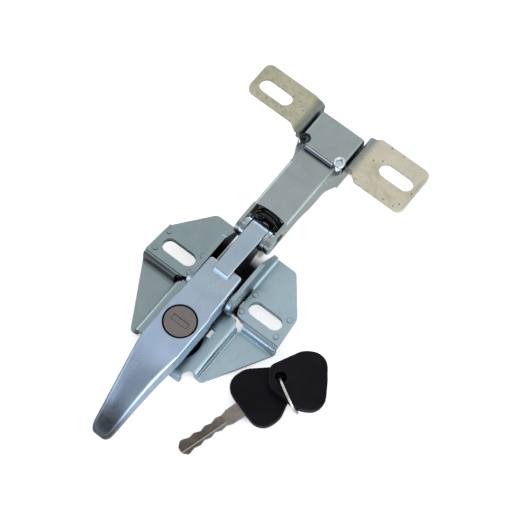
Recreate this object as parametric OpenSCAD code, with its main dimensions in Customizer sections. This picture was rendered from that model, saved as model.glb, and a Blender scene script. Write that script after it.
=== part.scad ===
// Engine cover lock: slotted base, lift handle with key lock, sprung latch bolt, keeper, key set.
// Frame: origin midway between the base slots on the pad faces, +X to the keeper, +Z outward.

/* [Base] */
// Thickness of the base sheet
sheet_t = 2.0; // [1.6:0.1:3]
// Thickness of the slotted pad plates
pad_t = 1.6; // [1:0.1:2.5]
// Height of the step from wings and tray down to the rear gussets
step_h = 6.0; // [4:0.5:9]
// Front edge of the wings
wing_front_x = 26; // [20:0.5:32]
// Half width of the wings at the front edge
wing_front_y = 22.8; // [19:0.2:26]
// Half width of the base at the pads
wing_half_w = 37.7; // [34:0.1:44]
// Rear end of the gussets
gusset_rear_x = -40.5; // [-46:0.5:-36]
// Half width of the gussets at the rear end
gusset_rear_y = 20.2; // [19:0.2:26]
// Half width of the tray under the handle
tray_half_w = 15.4; // [14:0.2:16]
// Front edge of the tray
tray_front_x = -9.0; // [-10:0.1:-8.6]
// Rear bend of the tray
tray_rear_x = -44.4; // [-50:0.2:-42]
// Distance between the two mounting slots
slot_pitch = 49.5; // [46:0.5:54]
// Width of a mounting slot
slot_w = 7.2; // [5.5:0.1:8]
// Length of a mounting slot
slot_len = 17.5; // [12:0.5:18]
// Height of the up-turned side walls above the pads
wall_top = 12.0; // [9:0.5:14]
// Radius of the raised pad dots
dot_r = 1.2; // [1:0.05:1.4]
// Width of the groove around each dot
dot_groove = 0.4; // [0.2:0.05:0.6]
// Height of the raised pad dots
dot_rise = 0.5; // [0.2:0.05:0.8]

/* [Pivots] */
// Handle pivot, distance along the lock
pivot_x = -5.8; // [-8:0.1:-4]
// Handle pivot, height
pivot_z = 6.0; // [4:0.1:7]
// Handle pivot pin diameter
pivot_d = 6.0; // [4:0.1:7]
// Link pivot, distance along the lock
link_x = 24.2; // [22:0.1:25]
// Link pivot, height
link_z = 13.4; // [12.6:0.1:13.6]
// Link pin diameter
link_d = 6.0; // [4:0.1:6.2]
// Radial running clearance of the pins
pin_gap = 0.05; // [0.02:0.01:0.1]
// Side clearance between neighbouring plates
side_gap = 0.15; // [0.08:0.01:0.2]

/* [Handle] */
// Top face of the handle body
body_top = 16.4; // [15:0.1:17.5]
// Underside of the handle body
body_low = 5.0; // [3:0.2:7]
// Half width of the handle at the lock
body_half_w = 9.2; // [8.6:0.1:9.3]
// Width of the nose rib at its rounded end
nose_w = 9.4; // [6:0.1:9.6]
// Width of the nose rib where it rises from the body
nose_rear_w = 8.3; // [6:0.1:9]
// Radius of the rounded nose end
nose_r = 5.2; // [4.6:0.1:5.3]
// Half width of the grip beside the lock
grip_half_w = 9.9; // [9.4:0.1:10.2]
// Half width of the grip where it has bent down
grip_mid_w = 6.6; // [5.8:0.1:7.4]
// Half width of the grip at its end
grip_tip_w = 4.7; // [4:0.1:5.4]
// Where the grip starts to bend down
grip_bend_x = -45; // [-48:0.5:-43]
// Front shoulder of the handle body
body_front_x = 2.4; // [0.5:0.1:4]
// End of the grip
tip_x = -88; // [-96:0.5:-82]
// Wall thickness of the hollow grip
grip_wall = 2.4; // [1.8:0.1:3]

/* [Lock] */
// Lock axis, distance along the lock
lock_x = -31; // [-33:0.1:-29]
// Diameter of the lock face
face_d = 14.4; // [12:0.1:14.6]
// Diameter of the turning core
core_d = 10.0; // [8:0.1:10.4]
// Length of the key slot
keyway_l = 8.8; // [7:0.1:9.2]
// Width of the key slot
keyway_w = 2.8; // [2.2:0.1:3]
// Gap around the shutter in the key slot
shutter_gap = 0.18; // [0.05:0.01:0.25]
// Reach of the cam from the lock axis
cam_reach = 13.4; // [12.4:0.1:13.8]
// Half width of the cam
cam_half_w = 4.2; // [3.6:0.1:4.4]
// Radius of the tray hole around the lock
tray_hole_r = 11.0; // [10.4:0.1:11.2]

/* [Latch bolt] */
// Sheet thickness of the bolt
bolt_t = 1.6; // [1.2:0.1:1.8]
// Outer width of the bolt channel
bolt_w = 18.8; // [18:0.1:19.4]
// End of the bolt's top plate above the spring
plate_end_x = 34.4; // [32.8:0.1:36]
// Front face of the step up to the head
head_x = 70.4; // [66:0.2:72]
// Length of the bolt head
head_l = 18.2; // [14:0.2:20]
// Outer width of the bolt head
head_w = 24.4; // [22:0.1:25]
// Height of the step up to the head
head_rise = 3.8; // [2:0.1:4.4]
// Radius of the rolled bead at the foot of the head's step
bead_r = 1.5; // [1:0.1:1.8]
// Half length of that bead
bead_half = 7.6; // [6:0.1:7.8]
// Radius of the two relief holes at the head's step
relief_r = 2.4; // [1.8:0.1:2.8]
// Travel of the bolt against its spring
bolt_travel = 4.0; // [2:0.1:4]
// Outer diameter of the spring
spring_d = 14.2; // [11:0.1:14.6]
// Wire diameter of the spring
wire_d = 2.0; // [1.2:0.1:2.2]
// Number of spring turns
turns = 9.5; // [6:0.5:11]

/* [Keeper] */
// Sheet thickness of the keeper
keeper_t = 2.3; // [1.8:0.1:2.8]
// Clearance between bolt head and keeper wall
trough_gap = 0.7; // [0.4:0.1:1.2]
// Middle of the keeper along the lock
keeper_x = 82.6; // [81:0.2:84]
// Near edge of the left keeper ear
ear_near_left = 75.2; // [73:0.2:77]
// Near edge of the right keeper ear
ear_near_right = 69.0; // [68:0.2:72]
// Far edge of the left keeper ear
ear_far_left = 92.8; // [91:0.2:95]
// Far edge of the right keeper ear
ear_far_right = 94.0; // [92:0.2:96]
// Near end of the keeper trough
trough_near = 72.8; // [72:0.2:73.4]
// Half span over the keeper ears
ear_half_span = 46; // [43:0.5:50]
// Top face of the keeper ears
ear_top = 22.6; // [22.5:0.1:25]
// Distance between the two keeper slots
keeper_pitch = 68.4; // [64:0.2:72]

/* [Keys] */
// Width of the key blade
blade_w = 6.8; // [5:0.1:7]
// Length of the key blade
blade_l = 33.0; // [28:0.5:38]
// Thickness of the key blade
blade_t = 2.0; // [1.6:0.1:2.2]
// Thickness of key head and tag
head_t = 4.4; // [3.6:0.1:4.8]
// Length of key head and tag from the ring hole to the wide end
fob_l = 20.4; // [18:0.2:22]
// Half width of key head and tag
fob_half_w = 13.8; // [11.5:0.1:14.2]
// Radius of the ring holes
ring_hole_r = 2.7; // [2.4:0.1:3]
// Mean radius of the key ring
ring_r = 8.6; // [8.2:0.1:9.4]
// Wire radius of the key ring
ring_wire_r = 0.8; // [0.6:0.05:0.95]

/* [Hidden] */
$fn = 48;
plate_top = -pad_t;
low_top = plate_top - step_h;
floor_z = low_top - sheet_t;
wall_in = bolt_w / 2 + 0.65;
wall_out = wall_in + sheet_t;
lug_r = wall_top - pivot_z;
wing_rear_x = tray_front_x + 1;
step_x = wing_rear_x - 3.2;
tray_low_y = tray_half_w + 3.0;
nose_top = link_z + nose_r;
bolt_top = link_z + 5;
bolt_in = bolt_w / 2 - bolt_t;
cheek_in = nose_w / 2 + side_gap;
cheek_out = cheek_in + 1.8;
cheek_r = 5.4;
web_x = link_x + nose_r + 0.4;
web_t = 1.2;
spring_x0 = web_x + web_t + 0.1;
spring_x1 = head_x - 0.2;
spring_z = bolt_top - bolt_t - 0.4 - spring_d / 2;
sleeve_r = face_d / 2 + 0.35;
core_r = core_d / 2;
cam_top = plate_top - sheet_t - 0.8;
cam_t = 2.0;
key_angle = 162.6;
key_tip = [-70.8, -32.4];
key_lift = 5.2;
hole_at = blade_l + fob_l;
key_tilt = asin(key_lift / hole_at);

function unit(v) = v / norm(v);
function corner(a, b, c, r, n = 6) = r == 0 ? [b] :
    let (u = unit(a - b), v = unit(c - b), h = acos(u * v) / 2, m = b + unit(u + v) * r / sin(h),
        s = b + u * r / tan(h) - m, e = b + v * r / tan(h) - m, sa = atan2(s[1], s[0]),
        d = atan2(e[1], e[0]) - sa, t = d > 180 ? d - 360 : d < -180 ? d + 360 : d)
    [for (i = [0:n]) m + r * [cos(sa + t * i / n), sin(sa + t * i / n)]];
// Outline with a rounded corner at each point given as [x, y, radius]
function rounded(p) = let (n = len(p)) [for (i = [0:n - 1]) each
    corner([p[(i + n - 1) % n][0], p[(i + n - 1) % n][1]], [p[i][0], p[i][1]],
        [p[(i + 1) % n][0], p[(i + 1) % n][1]], p[i][2])];
function arc(c, r, a, b, n = 12) = [for (i = [0:n]) c + r * [cos(a + (b - a) * i / n), sin(a + (b - a) * i / n)]];
function bez(a, b, c, d, n = 14) = [for (i = [0:n]) let (t = i / n, s = 1 - t)
    s * s * s * a + 3 * s * s * t * b + 3 * s * t * t * c + t * t * t * d];

// Solid of a side outline (x, z) between two y values
module side(pts, y0, y1) translate([0, y1, 0]) rotate([90, 0, 0]) linear_extrude(y1 - y0) polygon(pts);
// Solid of a cross outline (y, z) between two x values
module cross(pts, x0, x1) translate([x0, 0, 0]) rotate([90, 0, 90]) linear_extrude(x1 - x0) polygon(pts);
module flat(pts, z0, z1) translate([0, 0, z0]) linear_extrude(z1 - z0) polygon(pts);
module both() {
    children();
    mirror([0, 1, 0]) children();
}
// Round bar along y
module bar(x, z, r, y0, y1) translate([x, y1, z]) rotate([90, 0, 0]) cylinder(r = r, h = y1 - y0);
module slot_cut(x, y, z0, z1) translate([x, y, z0]) linear_extrude(z1 - z0) union() {
    square([slot_w, slot_len - slot_w], center = true);
    for (s = [-1, 1]) translate([0, s * (slot_len - slot_w) / 2]) circle(d = slot_w);
}

function base_half() = rounded([[wing_front_x, 0, 0], [wing_front_x, wing_front_y, 3], [8.5, wing_half_w - 1.2, 4],
    [-9.4, wing_half_w + 0.2, 2], [gusset_rear_x, gusset_rear_y, 2], [gusset_rear_x, tray_half_w, 0],
    [tray_rear_x - 3, tray_half_w - 2, 0], [tray_rear_x - 3, 0, 0]]);

module wing() flat(rounded([[wing_front_x + 1, wall_in, 0], [wing_front_x + 1, 50, 0], [wing_rear_x, 50, 0],
    [wing_rear_x, wall_out + 0.85, 4], [pivot_x + 6.5, wall_out + 0.85, 0], [pivot_x + 6.5, wall_in, 0]]),
    plate_top - sheet_t, plate_top);
// Section of a sheet that steps down by step_h while it runs from a to b, both bends rounded
function step_section(a, b) = let (d = b > a ? 1 : -1, r = 0.8, q = sheet_t + r) concat(
    [[a - d, plate_top]], [for (i = [0:5]) [a + d * (b - a) * d / 2 + d * (sheet_t / 2 - q + q * sin(18 * i)), plate_top - q + q * cos(18 * i)]],
    [for (i = [0:5]) [a + d * (b - a) * d / 2 + d * (sheet_t / 2 + r - r * cos(18 * i)), low_top + r - r * sin(18 * i)]],
    [[b + d, low_top], [b + d, floor_z]],
    [for (i = [0:5]) [a + d * (b - a) * d / 2 + d * (q - sheet_t / 2 - q * sin(18 * i)), floor_z + q - q * cos(18 * i)]],
    [for (i = [0:5]) [a + d * (b - a) * d / 2 - d * (sheet_t / 2 + r - r * cos(18 * i)), plate_top - sheet_t - r + r * sin(18 * i)]],
    [[a - d, plate_top - sheet_t]]);
module front_step() side(step_section(wing_rear_x, step_x), tray_low_y - 1.4, 50);
module side_step() cross(step_section(tray_half_w, tray_low_y), gusset_rear_x, wing_rear_x - 2.2);
module gusset() flat([[step_x, tray_low_y], [step_x, 50], [gusset_rear_x - 1, 50], [gusset_rear_x - 1, tray_low_y]],
    floor_z, low_top);
module wall() {
    side(concat([[pivot_x + 6.5, plate_top - sheet_t], [wing_front_x, plate_top - sheet_t], [wing_front_x, 0.6],
        [wing_front_x - 1.2, 1.8], [15.2, wall_top - 1]], arc([13.4, wall_top - 3], 3, 40, 90, 5),
        arc([pivot_x, pivot_z], lug_r, 90, 270, 24), [[pivot_x + 6.5, pivot_z - lug_r]]), wall_in, wall_out);
    cross(concat([[wall_out - 0.2, plate_top - 0.2], [wall_out + 1.1, plate_top - 0.2]],
        arc([wall_out + 1.1, plate_top + 1.1], 1.1, 270, 180, 6), [[wall_out - 0.2, plate_top + 1.1]]),
        pivot_x + 6.5, wing_front_x);
}
module tray() {
    flat([[tray_front_x, -tray_half_w], [tray_front_x, tray_half_w], [gusset_rear_x, tray_half_w],
        [gusset_rear_x, 13.6], [tray_rear_x + 1, 12.2], [tray_rear_x + 1, -12.2], [gusset_rear_x, -13.6],
        [gusset_rear_x, -tray_half_w]], plate_top - sheet_t, plate_top);
    side(concat([[tray_rear_x + 1, plate_top]], arc([tray_rear_x + 0.6, plate_top - 2.6], 2.6, 90, 180, 8),
        [[tray_rear_x - 2, floor_z + 0.4], [tray_rear_x, floor_z + 0.4]],
        arc([tray_rear_x + 0.6, plate_top - 2.6], 0.6, 180, 90, 5), [[tray_rear_x + 1, plate_top - sheet_t]]),
        -12, 12);
}
// Stamped base: wings, tray and two low gussets joined by steps, walls turned up beside the bolt
module base_plate() color([0.62, 0.67, 0.68]) difference() {
    union() {
        both() intersection() {
            flat(base_half(), floor_z - 1, wall_top + 1);
            union() {
                wing();
                front_step();
                side_step();
                gusset();
                wall();
            }
        }
        tray();
    }
    for (s = [-1, 1]) {
        slot_cut(0, s * slot_pitch / 2, floor_z, 1);
        translate([wing_rear_x - 1.9, s * (tray_half_w + 2.5), floor_z - 1]) cylinder(r = 1.7, h = 12);
        bar(pivot_x, pivot_z, pivot_d / 2 + pin_gap, min(s * (wall_in - 1), s * (wall_out + 1)),
            max(s * (wall_in - 1), s * (wall_out + 1)));
        translate([lock_x + 9.6, s * 10.2, plate_top - 3]) linear_extrude(4) square([4.6, 2.1], center = true);
    }
    translate([lock_x, 0, plate_top - 3]) cylinder(r = tray_hole_r, h = 4);
    translate([lock_x, -cam_half_w - 1, plate_top - 3]) cube([cam_reach + 1.4, 2 * cam_half_w + 2, 4]);
}

module pad(s) difference() {
    union() {
        intersection() {
            both() flat(base_half(), -pad_t, 0);
            flat(rounded([[8.4, s * (wall_out + 1.2), 3.2], [8.4, s * 50, 0], [wing_rear_x, s * 50, 0],
                [wing_rear_x, s * (wall_out + 1.2), 3.6]]), -pad_t, 0);
        }
        dots(s) cylinder(r1 = dot_r, r2 = dot_r - 0.2, h = dot_rise + 0.2);
    }
    slot_cut(0, s * slot_pitch / 2, -pad_t - 1, 1);
    dots(s) difference() {
        cylinder(r = dot_r + dot_groove, h = 1);
        cylinder(r1 = dot_r, r2 = dot_r - 0.2, h = dot_rise + 0.2);
        translate([0, 0, dot_rise + 0.19]) cylinder(r = dot_r, h = 1);
    }
}
module dots(s) for (x = [-5.1, 5.1], y = [slot_pitch / 2 - 9.75, slot_pitch / 2 + 9.75]) translate([x, s * y, -0.2]) children();
module left_pad() color([0.64, 0.69, 0.69]) pad(1);
module right_pad() color([0.64, 0.69, 0.69]) pad(-1);

module pivot_pin() color([0.75, 0.76, 0.77]) union() {
    bar(pivot_x, pivot_z, pivot_d / 2, -wall_out, wall_out);
    both() bar(pivot_x, pivot_z, pivot_d / 2 + 0.5, wall_out + 0.03, wall_out + 0.35);
    both() bar(pivot_x, pivot_z, pivot_d / 2, wall_out - 0.1, wall_out + 0.35);
}
module pivot_washers() color([0.7, 0.75, 0.78]) both() difference() {
    bar(pivot_x, pivot_z, 5.2, body_half_w + side_gap, wall_in - side_gap / 2);
    bar(pivot_x, pivot_z, pivot_d / 2 + pin_gap, body_half_w - 1, wall_in + 1);
}

nose_low = body_low - 2.2;
tip_top = floor_z + 5.2;
tip_low = floor_z + 0.5;
grip_mid_x = (grip_bend_x + tip_x) / 2 - 3;
function top_curve() = bez([grip_bend_x, body_top], [grip_bend_x - 16, body_top], [tip_x + 12, tip_top + 7.6],
    [tip_x + 1.2, tip_top]);
function low_curve() = bez([tip_x + 1.2, tip_low], [tip_x + 13, tip_low + 2.5], [grip_bend_x - 14, body_low],
    [grip_bend_x, body_low]);
function body_side() = concat([[body_front_x, body_low + 3.5], [body_front_x, body_top - 0.8],
    [body_front_x - 0.8, body_top]], top_curve(), [[tip_x, tip_top - 1.6], [tip_x, tip_low + 1.1]], low_curve(),
    [[pivot_x - 5, body_low]], arc([pivot_x, pivot_z], 5.6, 200, 320, 10));
function body_plan(g) = let (side = [[body_front_x + 1, body_half_w - 0.5 - g, 0], [pivot_x - 8, body_half_w - g, 0],
    [lock_x + 11, body_half_w - g, 3], [lock_x + 8, grip_half_w - g, 3], [grip_bend_x, grip_half_w - g, 20],
    [grip_mid_x, grip_mid_w - g, 20], [tip_x - 0.5 + g, grip_tip_w - g, 4.2 - g]])
    rounded(concat(side, [for (i = [len(side) - 1:-1:0]) [side[i][0], -side[i][1], side[i][2]]]));
function nose_side() = concat([[-3.2, body_top - 1], [-3.2, body_top], [-2, nose_top - 0.3], [-1.4, nose_top]],
    arc([link_x, link_z], nose_r, 90, -90, 20), [[body_front_x + 12, nose_low], [body_front_x + 1.6, nose_low], [body_front_x - 2, body_low + 1.5]]);
// Die-cast lift handle with a nose rib, a lock boss and a hollow grip
module handle() color([0.68, 0.7, 0.75]) difference() {
    union() {
        intersection() {
            side(body_side(), -20, 20);
            flat(body_plan(0), -20, 30);
        }
        intersection() {
            side(nose_side(), -nose_w / 2, nose_w / 2);
            flat([[-4, -nose_rear_w / 2], [link_x, -nose_w / 2], [link_x + 8, -nose_w / 2], [link_x + 8, nose_w / 2],
                [link_x, nose_w / 2], [-4, nose_rear_w / 2]], -20, 30);
        }
        translate([lock_x, 0, plate_top + 0.5]) cylinder(r = body_half_w + 0.2, h = body_low + 2 - plate_top);
    }
    intersection() {
        side(concat([for (p = top_curve()) p - [0, grip_wall]], [[tip_x + 1.2, 2 * floor_z], [grip_bend_x, 2 * floor_z]]), -20, 20);
        flat(body_plan(grip_wall), -20, 30);
    }
    bar(pivot_x, pivot_z, pivot_d / 2 + pin_gap, -20, 20);
    bar(link_x, link_z, link_d / 2 + pin_gap, -20, 20);
    translate([lock_x, 0, -5]) cylinder(r = sleeve_r + pin_gap, h = 30);
}

module lock_sleeve() color([0.55, 0.55, 0.56]) difference() {
    translate([lock_x, 0, plate_top - sheet_t - 0.3]) cylinder(r = sleeve_r, h = body_top - 2.4 - plate_top + sheet_t);
    translate([lock_x, 0, -10]) cylinder(r = core_r + pin_gap, h = 40);
}
module lock_plug() color([0.55, 0.49, 0.46]) difference() {
    union() {
        translate([lock_x, 0, body_top - 2.4]) cylinder(r = face_d / 2, h = 2.4);
        translate([lock_x, 0, cam_top]) cylinder(r = core_r, h = body_top - 2 - cam_top);
    }
    translate([lock_x - keyway_w / 2, -keyway_l / 2, body_top - 12]) cube([keyway_w, keyway_l, 20]);
    translate([lock_x, 0, cam_top - 1]) cylinder(r = 1.52, h = 6);
}
module key_shutter() color([0.5, 0.45, 0.42]) translate([lock_x - keyway_w / 2, -keyway_l / 2, body_top - 1.3]) union() {
    translate([shutter_gap, shutter_gap, 0]) cube([keyway_w - 2 * shutter_gap, keyway_l - 2 * shutter_gap, 1.1]);
    translate([0.02, keyway_l / 2 - 0.6, 0]) cube([keyway_w - 0.04, 1.2, 0.5]);
}
module lock_cam() color([0.7, 0.71, 0.7]) difference() {
    translate([lock_x, 0, cam_top - cam_t]) union() {
        cylinder(r = cam_half_w + 0.4, h = cam_t - 0.02);
        linear_extrude(cam_t - 0.02) polygon(rounded([[0, -cam_half_w, 0], [cam_reach, 0.6 - cam_half_w, 1.5],
            [cam_reach, cam_half_w - 0.6, 1.5], [0, cam_half_w, 0]]));
    }
    translate([lock_x, 0, cam_top - 5]) cylinder(r = 1.55, h = 8);
}
module cam_screw() color([0.75, 0.75, 0.74]) union() {
    translate([lock_x, 0, cam_top - cam_t - 1.9]) cylinder(r = 3.0, h = 1.88);
    translate([lock_x, 0, cam_top - cam_t - 1]) cylinder(r = 1.5, h = 7);
}

module link_pin() color([0.75, 0.76, 0.77]) bar(link_x, link_z, link_d / 2, -bolt_w / 2 + 0.1, bolt_w / 2 - 0.1);
// U-shaped link around the nose end, its web is the spring seat
module yoke() color([0.72, 0.74, 0.75]) difference() {
    union() {
        both() side(concat(arc([link_x, link_z], cheek_r, 90, 270, 20),
            [[web_x + 1, link_z - cheek_r], [web_x + 1, link_z - 0.6], [link_x + cheek_r * cos(35), link_z + cheek_r * sin(35)]],
            arc([link_x, link_z], cheek_r, 35, 90, 8)), cheek_in, cheek_out);
        cross(rounded([[-cheek_out, spring_z + 0.8, 1], [cheek_out, spring_z + 0.8, 1], [cheek_out, spring_z - 6, 2],
            [-cheek_out, spring_z - 6, 2]]), web_x, web_x + web_t);
        translate([web_x + 1, 0, spring_z]) rotate([0, 90, 0]) cylinder(r = spring_d / 2 - wire_d - 1.8, h = 4);
    }
    bar(link_x, link_z, link_d / 2 + pin_gap, -20, 20);
}
module link_washers() color([0.66, 0.68, 0.7]) both() difference() {
    bar(link_x, link_z, cheek_r - 0.6, cheek_out + 0.02, bolt_in - side_gap);
    bar(link_x, link_z, link_d / 2 + pin_gap, 0, 20);
}

// Coil spring along the bolt, near end on the yoke web and far end on the bolt's step
coil_len = spring_x1 - spring_x0 - wire_d;
// Closed coils at each end
closed = 1.6;
closed_pitch = wire_d + 0.1;
open_pitch = (coil_len - 2 * closed * closed_pitch) / (turns - 2 * closed);
function advance(u) = min(u, closed) * closed_pitch + max(0, min(u, turns - closed) - closed) * open_pitch
    + max(0, u - turns + closed) * closed_pitch;
function coil_pt(t, a) = let (rm = spring_d / 2 - wire_d / 2, rr = rm + wire_d / 2 * cos(a))
    [spring_x0 + wire_d / 2 + advance(turns * t) + wire_d / 2 * sin(a), rr * cos(360 * turns * t), spring_z + rr * sin(360 * turns * t)];
module draw_spring() color([0.08, 0.08, 0.09]) {
    n = ceil(turns * 18);
    k = 8;
    polyhedron(points = [for (i = [0:n], j = [0:k - 1]) coil_pt(i / n, 360 * j / k)],
        faces = concat([[for (j = [0:k - 1]) j]], [[for (j = [0:k - 1]) n * k + k - 1 - j]],
        [for (i = [0:n - 1], j = [0:k - 1]) [i * k + j, (i + 1) * k + j, (i + 1) * k + (j + 1) % k, i * k + (j + 1) % k]]));
}

head_top = bolt_top + head_rise;
head_end = head_x + head_l;
hole_y = head_w / 2 - 1.8;
flare_x = head_x - 9;
// Plan curve along which the flanges spread to the head width
function flare(a, b) = bez([flare_x, a], [flare_x + 5, a], [head_x - 3, b], [head_x + 0.5, b], 8);
function flange_side() = concat(arc([link_x, link_z], 5, 90, 270, 20), [[link_x + bolt_travel + 4, link_z - 5], [42, 8.2]],
    bez([42, 8.2], [49, 8.2], [49, 4.2], [56, 4.2], 8), [[flare_x + 0.2, 4.2], [flare_x + 0.2, bolt_top]]);
function head_side() = [[head_x - 0.2, head_top], [head_end, head_top], [head_end, 15], [head_end - 6.5, 1.4], [head_x - 0.2, 1.4]];
// Stamped latch bolt: channel over the spring, step and wider head, corner relief holes
module latch_bolt() color([0.63, 0.66, 0.67]) difference() {
    union() {
        both() side(flange_side(), bolt_in, bolt_w / 2);
        flat(concat([[plate_end_x, bolt_w / 2 - 0.8]], [for (i = [0:8]) [plate_end_x + 1.0 - pow((i - 4) / 4, 2), (4 - i) * bolt_in / 4]],
            [[plate_end_x, 0.8 - bolt_w / 2], [head_x + bolt_t, 0.8 - bolt_w / 2], [head_x + bolt_t, bolt_w / 2 - 0.8]]),
            bolt_top - bolt_t, bolt_top);
        both() cross(concat(arc([bolt_w / 2 - 2.2, bolt_top - 2.2], 2.2, 0, 90, 8), [[bolt_w / 2 - 2.6, bolt_top],
            [bolt_w / 2 - 2.6, bolt_top - bolt_t], [bolt_in, bolt_top - bolt_t], [bolt_in, bolt_top - 4], [bolt_w / 2, bolt_top - 4]]),
            plate_end_x, head_x);
        both() flat(concat(flare(bolt_w / 2, head_w / 2), [[head_x + 2, head_w / 2], [head_x + 2, head_w / 2 - bolt_t]],
            [for (i = [8:-1:0]) flare(bolt_in, head_w / 2 - bolt_t)[i]]), 4.2, bolt_top - bolt_t);
        both() flat(concat(flare(bolt_w / 2, head_w / 2), [[head_x + bolt_t, head_w / 2], [head_x + bolt_t, 4], [flare_x, 4]]),
            bolt_top - 2 * bolt_t, bolt_top - bolt_t);
        both() side(head_side(), head_w / 2 - bolt_t, head_w / 2);
        flat([[head_x, -head_w / 2 + 0.8], [head_x, head_w / 2 - 0.8], [head_end, head_w / 2 - 0.8], [head_end, 0.8 - head_w / 2]],
            head_top - bolt_t, head_top);
        side([[head_x, bolt_top - bolt_t], [head_x + bolt_t, bolt_top - bolt_t], [head_x + bolt_t, head_top], [head_x, head_top]],
            -head_w / 2, head_w / 2);
        bar(head_x, bolt_top + bead_r - 0.5, bead_r, -bead_half, bead_half);
    }
    // Flange edges under the top plate end lie open beside the nose
    translate([link_x - 8, -bolt_in, link_z - 12]) cube([plate_end_x - link_x + 8, 2 * bolt_in, 30]);
    // Round edges along the plate, cut back outside the bend
    both() cross(concat(arc([bolt_w / 2 - 2.2, bolt_top - 2.2], 2.2, 0, 90, 8), [[bolt_w / 2, bolt_top + 1], [bolt_w / 2 + 1, bolt_top + 1],
        [bolt_w / 2 + 1, bolt_top - 2.2]]), plate_end_x, flare_x);
    both() cross(concat(arc([head_w / 2 - 2, head_top - 2], 2, 0, 90, 8), [[head_w / 2, head_top + 1], [head_w / 2 + 1, head_top + 1],
        [head_w / 2 + 1, head_top - 2]]), head_x - 1, head_end + 1);
    for (s = [-1, 1]) translate([head_x + 2.2, s * hole_y, bolt_top - 3.6]) cylinder(r = relief_r, h = 14);
    for (s = [-1, 1]) translate([head_x - 0.6, s * hole_y - 1.6, bolt_top + 0.02]) cube([2.6, 3.2, 8]);
    both() {
        bar(link_x, link_z, link_d / 2 + pin_gap, 5, 20);
        bar(link_x + bolt_travel, link_z, link_d / 2 + pin_gap, 5, 20);
        translate([link_x, 5, link_z - link_d / 2 - pin_gap]) cube([bolt_travel, 15, link_d + 2 * pin_gap]);
    }
}

trough_in = head_w / 2 + trough_gap;
trough_out = trough_in + keeper_t;
trough_far = ear_far_right - 1.8;
module keeper_section() cross(concat([[0, floor_z]], arc([trough_out - 3.2, floor_z + 3.2], 3.2, 270, 360, 8),
    arc([trough_in + 3.4, ear_top - 3.4], 3.4 - keeper_t, 180, 90, 8), [[trough_in + 3.6, ear_top - keeper_t], [trough_in + 3.6, ear_top]],
    arc([trough_in + 3.4, ear_top - 3.4], 3.4, 90, 180, 10), arc([trough_out - 3.2, floor_z + 3.2], 3.2 - keeper_t, 0, -90, 6),
    [[0, floor_z + keeper_t]]), trough_near, trough_far);
function ear_plan(near, far) = rounded([[trough_near, trough_in + 3.4, 0], [near, trough_in + 7.4, 2.2], [near, ear_half_span, 3.4],
    [far, ear_half_span, 3.4], [far, trough_in + 5.6, 2], [trough_far, trough_in + 3.4, 0]]);
// One-piece keeper: trough for the bolt head, two slotted ears of unlike depth
module keeper() color([0.74, 0.71, 0.6]) difference() {
    union() {
        both() intersection() {
            keeper_section();
            side([[trough_near - 1, ear_top + 1], [trough_near - 1, ear_top - 4], [keeper_x + 3, floor_z],
                [ear_far_right, floor_z], [ear_far_right, ear_top + 1]], -1, ear_half_span);
        }
        flat(ear_plan(ear_near_left, ear_far_left), ear_top - keeper_t, ear_top);
        mirror([0, 1, 0]) flat(ear_plan(ear_near_right, ear_far_right), ear_top - keeper_t, ear_top);
    }
    for (s = [-1, 1]) slot_cut(keeper_x, s * keeper_pitch / 2, ear_top - 6, ear_top + 2);
}

// Key lying with its blade tip down and its head lifted by the ring
module key_place() translate([key_tip[0], key_tip[1], floor_z + blade_t / 2 + 0.1]) rotate([0, 0, key_angle + 180]) rotate([0, -key_tilt, 0]) children();
// Outline of key head and tag, ring hole at the origin and wide end at +x
function fob_plan() = rounded([[-5.6, -4.8, 4.6], [fob_l / 2 - 1, -fob_half_w, 10], [fob_l, -fob_half_w, 7],
    [fob_l + 0.6, 0, 30], [fob_l, fob_half_w, 7], [fob_l / 2 - 1, fob_half_w, 10], [-5.6, 4.8, 4.6]]);
// Both blade edges with their cuts, from the tip to the head
cuts = [0, 0.9, 0.3, 1.3, 0.5, 1.5, 0.4, 1.0, 0];
function blade_plan() = concat([[0, 2 - blade_w / 2], [2, -blade_w / 2]],
    [for (i = [0:8]) [3 + i * (blade_l - 10) / 8, cuts[i] - blade_w / 2]], [[blade_l + 4, -blade_w / 2],
    [blade_l + 4, blade_w / 2]], [for (i = [8:-1:0]) [3.6 + i * (blade_l - 10) / 8, blade_w / 2 - cuts[8 - i]]],
    [[2, blade_w / 2], [0, blade_w / 2 - 2]]);
module key_blade() color([0.6, 0.56, 0.52]) key_place() translate([0, 0, -blade_t / 2]) difference() {
    linear_extrude(blade_t) polygon(blade_plan());
    translate([-1, -1.3, blade_t - 0.55]) cube([blade_l - 6, 1.3, 1]);
}
module key_head() color([0.06, 0.06, 0.07]) key_place() difference() {
    translate([hole_at, 0, -head_t / 2]) rotate([0, 0, 180]) linear_extrude(head_t) polygon(fob_plan());
    translate([blade_l - 3, -blade_w / 2 - 0.02, -blade_t / 2 - 0.02]) cube([7.02, blade_w + 0.04, blade_t + 0.04]);
    translate([hole_at, 0, -10]) cylinder(r = ring_hole_r, h = 20);
}
hole_xy = key_tip - (hole_at * cos(key_tilt)) * [cos(key_angle), sin(key_angle)];
hole_z = floor_z + blade_t / 2 + 0.1 + key_lift;
tag_z = hole_z + head_t + 1.5;
tag_angle = -56;
tag_tilt = 7;
module key_tag() color([0.06, 0.06, 0.07]) difference() {
    translate([hole_xy[0], hole_xy[1], tag_z]) rotate([0, 0, tag_angle]) rotate([0, tag_tilt, 0])
        translate([0, 0, -head_t / 2]) linear_extrude(head_t) polygon(fob_plan());
    translate([hole_xy[0], hole_xy[1], tag_z - 10]) cylinder(r = ring_hole_r, h = 20);
}
ring_dir = 241;
ring_lean = 12;
ring_out = ring_r - 0.9;
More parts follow.
